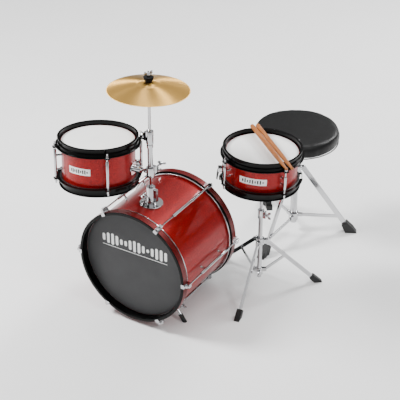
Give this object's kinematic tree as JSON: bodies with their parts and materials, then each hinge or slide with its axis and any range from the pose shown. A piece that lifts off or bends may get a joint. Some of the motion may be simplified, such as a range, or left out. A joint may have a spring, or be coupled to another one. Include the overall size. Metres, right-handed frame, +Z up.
{
  "type": "acoustic drum kit",
  "caption": "Compact drum kit: bass drum with pedal and spurs, tom and cymbal on one post, snare drum on a folding stand, and a round folding stool.",
  "frame": {"origin": "on the floor, under the middle of the whole kit's bounding box", "axes": "+X to the snare drum's side (the drummer's left), +Y from the bass drum's front head towards the drummer's seat, +Z up"},
  "size_m": [0.7964, 1.0648, 0.936],
  "materials": {
    "red_sparkle": "gloss",
    "black_lacquer": "gloss",
    "drumhead": "satin",
    "chrome": "polished",
    "steel_wire": "brushed",
    "cymbal_bronze": "lathed",
    "felt_and_rubber": "matte",
    "black_vinyl": "satin",
    "black_steel": "satin",
    "hickory": "satin"
  },
  "bodies": {
    "bass_drum": {"bass_shell": "red_sparkle", "bass_hoops": "black_lacquer", "bass_heads": "drumhead", "bass_claw_hooks": "chrome", "bass_lugs": "chrome", "tom_mount_base": "chrome", "spur_brackets": "chrome", "pedal_frame": "black_steel"},
    "spur_left": {"spur_leg_left": "chrome"},
    "spur_bolt_left": {"spur_wing_bolt_left": "chrome"},
    "spur_right": {"spur_leg_right": "chrome"},
    "spur_bolt_right": {"spur_wing_bolt_right": "chrome"},
    "tee_screw": {"base_tee_screw": "chrome"},
    "post": {"center_post": "chrome"},
    "post_wing": {"post_clamp_wing": "chrome"},
    "arm": {"tom_arm": "chrome"},
    "arm_wing": {"arm_clamp_wing": "chrome"},
    "tom": {"tom_bracket": "chrome", "tom_shell": "red_sparkle", "tom_hoops": "chrome", "tom_heads": "drumhead", "tom_lugs": "chrome"},
    "tom_wing": {"tom_bracket_wing": "chrome"},
    "cymbal_rod": {"cymbal_rod": "chrome"},
    "cymbal_felts": {"cymbal_washers": "felt_and_rubber"},
    "cymbal": {"cymbal": "cymbal_bronze"},
    "cymbal_nut": {"cymbal_wing_nut": "chrome"},
    "footboard": {"pedal_footboard": "chrome"},
    "beater": {"pedal_beater": "chrome"},
    "stand_tube": {"stand_lower_tube": "chrome"},
    "stand_hub": {"stand_leg_hub": "chrome"},
    "throne_tube": {"throne_tube": "chrome"},
    "throne_collar": {"throne_collar": "chrome"},
    "stand_leg_1": {"stand_leg_1": "chrome"},
    "stand_brace_1": {"stand_brace_1": "chrome"},
    "stand_leg_2": {"stand_leg_2": "chrome"},
    "stand_brace_2": {"stand_brace_2": "chrome"},
    "stand_leg_3": {"stand_leg_3": "chrome"},
    "stand_brace_3": {"stand_brace_3": "chrome"},
    "throne_leg_1": {"throne_leg_1": "chrome"},
    "throne_brace_1": {"throne_brace_1": "chrome"},
    "throne_leg_2": {"throne_leg_2": "chrome"},
    "throne_brace_2": {"throne_brace_2": "chrome"},
    "throne_leg_3": {"throne_leg_3": "chrome"},
    "throne_brace_3": {"throne_brace_3": "chrome"},
    "stand_screw": {"stand_wing_screw": "chrome"},
    "basket": {"stand_basket": "chrome"},
    "snare": {"snare_shell": "red_sparkle", "snare_hoops": "chrome", "snare_heads": "drumhead", "snare_lugs": "chrome", "snare_wires": "steel_wire", "strainer_and_butt": "chrome"},
    "strainer_lever": {"strainer_lever": "chrome"},
    "stick_left": {"drumstick_left": "hickory"},
    "stick_right": {"drumstick_right": "hickory"},
    "throne_screw": {"throne_wing_screw": "chrome"},
    "seat_post": {"seat_post": "chrome"},
    "seat": {"seat_cushion": "black_vinyl", "seat_bracket": "black_steel"}
  },
  "joints": [
    {"name": "spur_left_slide", "type": "slide", "parent": "bass_drum", "child": "spur_left", "axis": [-0.5592, 0, 0.829], "range_m": [0, 0.02]},
    {"name": "spur_bolt_left_turn", "type": "hinge", "parent": "bass_drum", "child": "spur_bolt_left", "pos_m": [0.05439, -0.36839, 0.05057], "axis": [0.829, 0, 0.5592], "continuous": true},
    {"name": "spur_right_slide", "type": "slide", "parent": "bass_drum", "child": "spur_right", "axis": [0.5592, 0, 0.829], "range_m": [0, 0.02]},
    {"name": "spur_bolt_right_turn", "type": "hinge", "parent": "bass_drum", "child": "spur_bolt_right", "pos_m": [-0.18941, -0.36839, 0.05057], "axis": [-0.829, 0, 0.5592], "continuous": true},
    {"name": "tee_screw_turn", "type": "hinge", "parent": "bass_drum", "child": "tee_screw", "pos_m": [-0.05901, -0.34369, 0.4525], "axis": [-1, 0, 0], "continuous": true},
    {"name": "post_height", "type": "slide", "parent": "bass_drum", "child": "post", "axis": [0, 0, 1], "range_m": [-0.02, 0.06]},
    {"name": "post_wing_turn", "type": "hinge", "parent": "post", "child": "post_wing", "pos_m": [-0.05901, -0.34369, 0.693], "axis": [-1, 0, 0], "continuous": true},
    {"name": "tom_swivel", "type": "hinge", "parent": "post", "child": "arm", "pos_m": [-0.05901, -0.34369, 0.56], "axis": [0, 0, 1], "range_deg": [-30, 25]},
    {"name": "arm_wing_turn", "type": "hinge", "parent": "arm", "child": "arm_wing", "pos_m": [-0.05901, -0.34369, 0.56], "axis": [0, 1, 0], "continuous": true},
    {"name": "tom_tilt", "type": "hinge", "parent": "arm", "child": "tom", "pos_m": [-0.05901, -0.34369, 0.56], "axis": [-0.9801, -0.1985, 0], "range_deg": [-10, 12]},
    {"name": "tom_wing_turn", "type": "hinge", "parent": "tom", "child": "tom_wing", "pos_m": [-0.10341, -0.35268, 0.56], "axis": [0, 0, 1], "continuous": true},
    {"name": "cymbal_height", "type": "slide", "parent": "post", "child": "cymbal_rod", "axis": [0, 0, 1], "range_m": [-0.04, 0.05]},
    {"name": "cymbal_swing", "type": "hinge", "parent": "cymbal_rod", "child": "cymbal_felts", "pos_m": [-0.05901, -0.34369, 0.899], "axis": [1, 0, 0], "range_deg": [-4, 4], "stiffness_Nm_per_rad": 1},
    {"name": "cymbal_spin", "type": "hinge", "parent": "cymbal_felts", "child": "cymbal", "pos_m": [-0.05901, -0.34369, 0.899], "axis": [-0.0125, 0.0692, 0.9975], "continuous": true},
    {"name": "cymbal_nut_turn", "type": "hinge", "parent": "cymbal_rod", "child": "cymbal_nut", "pos_m": [-0.05901, -0.34369, 0.899], "axis": [0, 0, 1], "continuous": true},
    {"name": "pedal_press", "type": "hinge", "parent": "bass_drum", "child": "footboard", "pos_m": [-0.06751, 0.12961, 0.012], "axis": [1, 0, 0], "range_deg": [0, 12], "stiffness_Nm_per_rad": 3, "springref_deg": -8.59},
    {"name": "beater_swing", "type": "hinge", "parent": "bass_drum", "child": "beater", "pos_m": [-0.06751, -0.07539, 0.125], "axis": [1, 0, 0], "range_deg": [0, 51]},
    {"name": "stand_fold", "type": "slide", "parent": "stand_tube", "child": "stand_hub", "axis": [0, 0, 1], "range_m": [0, 0.065]},
    {"name": "stand_rise", "type": "slide", "parent": "bass_drum", "child": "stand_tube", "axis": [0, 0, 1], "range_m": [0, 0.0223]},
    {"name": "stand_leg_1_fold", "type": "hinge", "parent": "stand_hub", "child": "stand_leg_1", "pos_m": [0.21143, -0.06277, 0.2], "axis": [0.9865, 0.164, 0], "range_deg": [0, 34.93]},
    {"name": "stand_brace_1_fold", "type": "hinge", "parent": "stand_tube", "child": "stand_brace_1", "pos_m": [0.2111, -0.06079, 0.07], "axis": [0.9865, 0.164, 0], "range_deg": [-41.28, 0]},
    {"name": "stand_leg_2_fold", "type": "hinge", "parent": "stand_hub", "child": "stand_leg_2", "pos_m": [0.22603, -0.02384, 0.2], "axis": [-0.6353, 0.7723, 0], "range_deg": [0, 34.93]},
    {"name": "stand_brace_2_fold", "type": "hinge", "parent": "stand_tube", "child": "stand_brace_2", "pos_m": [0.22448, -0.02511, 0.07], "axis": [-0.6353, 0.7723, 0], "range_deg": [-41.28, 0]},
    {"name": "stand_leg_3_fold", "type": "hinge", "parent": "stand_hub", "child": "stand_leg_3", "pos_m": [0.18502, -0.03066, 0.2], "axis": [-0.3512, -0.9363, 0], "range_deg": [0, 34.93]},
    {"name": "stand_brace_3_fold", "type": "hinge", "parent": "stand_tube", "child": "stand_brace_3", "pos_m": [0.18689, -0.03136, 0.07], "axis": [-0.3512, -0.9363, 0], "range_deg": [-41.28, 0]},
    {"name": "throne_fold", "type": "slide", "parent": "throne_tube", "child": "throne_collar", "axis": [0, 0, 1], "range_m": [0, 0.0975]},
    {"name": "throne_rise", "type": "slide", "parent": "bass_drum", "child": "throne_tube", "axis": [0, 0, 1], "range_m": [0, 0.0643]},
    {"name": "throne_leg_1_fold", "type": "hinge", "parent": "throne_tube", "child": "throne_leg_1", "pos_m": [0.15928, 0.38449, 0.285], "axis": [-0.4695, 0.8829, 0], "range_deg": [0, 22.92]},
    {"name": "throne_brace_1_fold", "type": "hinge", "parent": "throne_collar", "child": "throne_brace_1", "pos_m": [0.15928, 0.38449, 0.068], "axis": [-0.4695, 0.8829, 0], "range_deg": [0, 67.61]},
    {"name": "throne_leg_2_fold", "type": "hinge", "parent": "throne_tube", "child": "throne_leg_2", "pos_m": [0.10735, 0.38631, 0.285], "axis": [-0.5299, -0.848, 0], "range_deg": [0, 22.92]},
    {"name": "throne_brace_2_fold", "type": "hinge", "parent": "throne_collar", "child": "throne_brace_2", "pos_m": [0.10735, 0.38631, 0.068], "axis": [-0.5299, -0.848, 0], "range_deg": [0, 67.61]},
    {"name": "throne_leg_3_fold", "type": "hinge", "parent": "throne_tube", "child": "throne_leg_3", "pos_m": [0.13174, 0.34043, 0.285], "axis": [0.9994, -0.0349, 0], "range_deg": [0, 22.92]},
    {"name": "throne_brace_3_fold", "type": "hinge", "parent": "throne_collar", "child": "throne_brace_3", "pos_m": [0.13174, 0.34043, 0.068], "axis": [0.9994, -0.0349, 0], "range_deg": [0, 67.61]},
    {"name": "stand_screw_turn", "type": "hinge", "parent": "stand_tube", "child": "stand_screw", "pos_m": [0.20749, -0.03909, 0.316], "axis": [1, 0, 0], "continuous": true},
    {"name": "stand_height", "type": "slide", "parent": "stand_tube", "child": "basket", "axis": [0, 0, 1], "range_m": [-0.05, 0.05]},
    {"name": "snare_lift", "type": "slide", "parent": "basket", "child": "snare", "axis": [0, 0, 1], "range_m": [0, 0.12]},
    {"name": "strainer_throw", "type": "hinge", "parent": "snare", "child": "strainer_lever", "pos_m": [0.079, -0.11573, 0.50033], "axis": [-0.5002, 0.8657, -0.0197], "range_deg": [0, 100]},
    {"name": "stick_left_lift", "type": "slide", "parent": "snare", "child": "stick_left", "axis": [0, 0, 1], "range_m": [0, 0.15]},
    {"name": "stick_right_lift", "type": "slide", "parent": "snare", "child": "stick_right", "axis": [0, 0, 1], "range_m": [0, 0.15]},
    {"name": "throne_screw_turn", "type": "hinge", "parent": "throne_tube", "child": "throne_screw", "pos_m": [0.13279, 0.37041, 0.317], "axis": [0, -1, 0], "continuous": true},
    {"name": "seat_height", "type": "slide", "parent": "throne_tube", "child": "seat_post", "axis": [0, 0, 1], "range_m": [-0.04, 0.07]},
    {"name": "seat_spin", "type": "hinge", "parent": "seat_post", "child": "seat", "pos_m": [0.13279, 0.37041, 0], "axis": [0, 0, 1], "continuous": true}
  ],
  "couplings": [
    {"joint": "beater_swing", "follows": "pedal_press", "ratio": 4.25},
    {"joint": "stand_rise", "follows": "stand_fold", "ratio": 0.3405},
    {"joint": "stand_leg_1_fold", "follows": "stand_fold", "rad_per_m": 9.3655},
    {"joint": "stand_brace_1_fold", "follows": "stand_fold", "rad_per_m": -11.07},
    {"joint": "stand_leg_2_fold", "follows": "stand_fold", "rad_per_m": 9.3655},
    {"joint": "stand_brace_2_fold", "follows": "stand_fold", "rad_per_m": -11.07},
    {"joint": "stand_leg_3_fold", "follows": "stand_fold", "rad_per_m": 9.3655},
    {"joint": "stand_brace_3_fold", "follows": "stand_fold", "rad_per_m": -11.07},
    {"joint": "throne_rise", "follows": "throne_fold", "ratio": 0.6577},
    {"joint": "throne_leg_1_fold", "follows": "throne_fold", "rad_per_m": 4.0932},
    {"joint": "throne_brace_1_fold", "follows": "throne_fold", "rad_per_m": 12.093},
    {"joint": "throne_leg_2_fold", "follows": "throne_fold", "rad_per_m": 4.0932},
    {"joint": "throne_brace_2_fold", "follows": "throne_fold", "rad_per_m": 12.093},
    {"joint": "throne_leg_3_fold", "follows": "throne_fold", "rad_per_m": 4.0932},
    {"joint": "throne_brace_3_fold", "follows": "throne_fold", "rad_per_m": 12.093}
  ]
}
